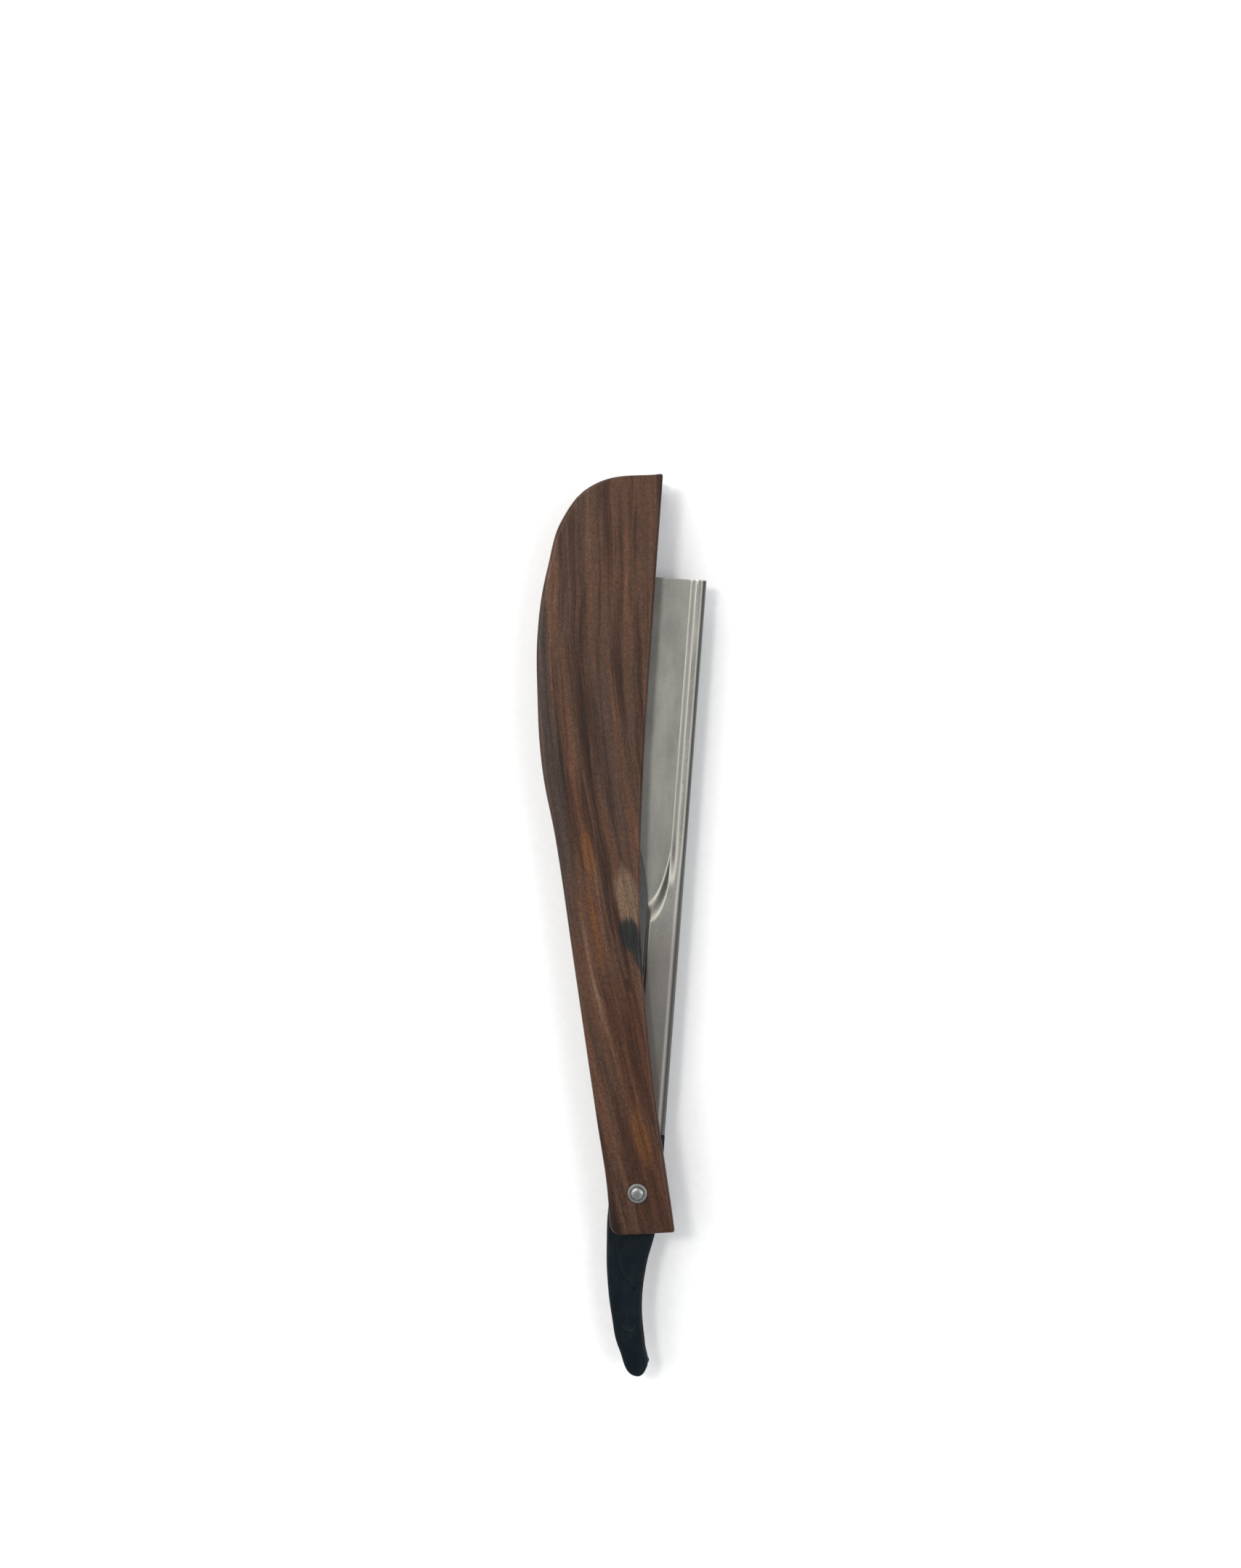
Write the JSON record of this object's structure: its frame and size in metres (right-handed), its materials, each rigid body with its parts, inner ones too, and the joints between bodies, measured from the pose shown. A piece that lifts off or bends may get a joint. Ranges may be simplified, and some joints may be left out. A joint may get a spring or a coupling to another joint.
{
  "type": "straight razor",
  "caption": "Folding straight razor for half blades: wooden handle scales, moulded arm with a curved tail, and a folded steel blade holder.",
  "frame": {"origin": "on the pivot axis, at the flat end of the rivet's rear head, the lowest point of the razor lying on its side", "axes": "+Y along the handle from the pivot to its nose, +X across the handle towards the side on which the arm opens, +Z from the rear scale to the front scale, parallel to the pivot"},
  "size_m": [0.0336, 0.1787, 0.0138],
  "materials": {
    "rosewood": "oiled, satin",
    "rivet_aluminium": "satin, peened",
    "nylon": "matte, natural",
    "black_plastic": "semi-gloss, moulded",
    "brushed_steel": "satin, rolled sheet",
    "blade_steel": "polished strip, honed edge"
  },
  "bodies": {
    "handle": {"front_scale": "rosewood", "rear_scale": "rosewood", "nose_spacer": "rosewood", "pivot_pin": "rivet_aluminium", "front_rivet_washer": "rivet_aluminium", "rear_rivet_washer": "rivet_aluminium", "front_thrust_washer": "nylon", "rear_thrust_washer": "nylon"},
    "arm": {"arm": "black_plastic"},
    "holder": {"blade_holder": "brushed_steel"},
    "blade": {"half_blade": "blade_steel"}
  },
  "joints": [
    {"name": "arm_pivot", "type": "hinge", "parent": "handle", "child": "arm", "pos_m": [0, 0, 0.0069], "axis": [0, 0, -1], "range_deg": [-4, 341]},
    {"name": "holder_slide", "type": "slide", "parent": "arm", "child": "holder", "axis": [0.0753, 0.9972, 0], "range_m": [0, 0.042]},
    {"name": "blade_slide", "type": "slide", "parent": "holder", "child": "blade", "axis": [0.0753, 0.9972, 0], "range_m": [0, 0.045]}
  ]
}
